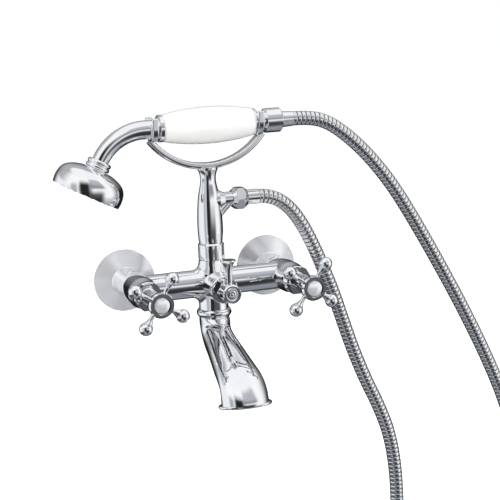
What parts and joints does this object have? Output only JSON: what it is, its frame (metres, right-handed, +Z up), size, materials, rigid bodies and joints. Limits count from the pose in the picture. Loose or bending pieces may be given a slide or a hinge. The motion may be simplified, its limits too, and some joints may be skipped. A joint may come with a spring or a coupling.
{
  "type": "wall mounted bath faucet",
  "caption": "Wall mounted bath and shower mixer with cross handles, a flared spout, a diverter lever and a telephone hand shower that rests in a cradle on the end of a ribbed hose.",
  "frame": {"origin": "midway between the two wall inlets, on the wall plane", "axes": "+X along the wall to the right as seen from the room, +Y into the wall, +Z up"},
  "size_m": [0.4958, 0.172, 0.5446],
  "materials": {
    "chrome": "polished chrome plate on cast and turned brass",
    "brass": "machined, unplated",
    "steel": "plain stainless steel",
    "hose_steel": "ribbed stainless steel hose with a smooth bore",
    "porcelain": "white glazed porcelain, opaque",
    "disc_ceramic": "lapped ceramic, opaque",
    "rubber": "moulded",
    "white_plastic": "moulded"
  },
  "bodies": {
    "base": {"bath_spout": "chrome", "cold_eccentric_union": "brass", "cold_fixed_disc": "disc_ceramic", "cold_headwork_bonnet": "chrome", "cold_union_nut": "chrome", "cold_union_tail": "brass", "cold_wall_flange": "chrome", "cradle_stud": "steel", "diverter_bonnet": "chrome", "diverter_o_ring": "rubber", "flow_straightener": "white_plastic", "handset_cradle": "chrome", "hose_handset_run": "hose_steel", "hose_loop": "hose_steel", "hose_riser_run": "hose_steel", "hot_eccentric_union": "brass", "hot_fixed_disc": "disc_ceramic", "hot_headwork_bonnet": "chrome", "hot_union_nut": "chrome", "hot_union_tail": "brass", "hot_wall_flange": "chrome", "lip_seals": "rubber", "mixer_body": "chrome", "riser_column": "chrome", "riser_hose_ferrule": "chrome", "riser_hose_nut": "chrome", "riser_hose_washer": "rubber", "riser_nut": "chrome", "riser_snap_ring": "steel", "riser_washer": "rubber", "spout_collar": "chrome", "spout_washer": "rubber", "union_washers": "rubber"},
    "hot_handle": {"hot_cross_handle": "chrome", "hot_spindle": "brass", "hot_moving_disc": "disc_ceramic", "hot_handle_screw": "steel", "hot_index_button": "chrome"},
    "cold_handle": {"cold_cross_handle": "chrome", "cold_spindle": "brass", "cold_moving_disc": "disc_ceramic", "cold_handle_screw": "steel", "cold_index_button": "chrome"},
    "diverter": {"diverter_lever": "chrome", "diverter_drum": "brass", "diverter_screw": "steel", "diverter_cap": "chrome"},
    "handset": {"handset_neck": "chrome", "head_collar": "chrome", "shower_head": "chrome", "head_gasket": "rubber", "spray_face": "chrome", "front_ferrule": "chrome", "handset_grip": "porcelain", "water_tube": "brass", "handset_tail": "chrome", "handset_hose_nut": "chrome", "handset_hose_washer": "rubber", "handset_hose_ferrule": "chrome"}
  },
  "joints": [
    {"name": "hot_handle_turn", "type": "hinge", "parent": "base", "child": "hot_handle", "pos_m": [-0.075, -0.11, 0.006], "axis": [0, -1, 0], "range_deg": [0, 90]},
    {"name": "cold_handle_turn", "type": "hinge", "parent": "base", "child": "cold_handle", "pos_m": [0.075, -0.11, 0.006], "axis": [0, 1, 0], "range_deg": [0, 90]},
    {"name": "diverter_turn", "type": "hinge", "parent": "base", "child": "diverter", "pos_m": [0, -0.1, 0.0045], "axis": [0, -1, 0], "range_deg": [0, 180]},
    {"name": "handset_lift", "type": "slide", "parent": "base", "child": "handset", "axis": [0, 0, 1], "range_m": [0, 0.12], "deforming": ["hose_handset_run"]}
  ]
}
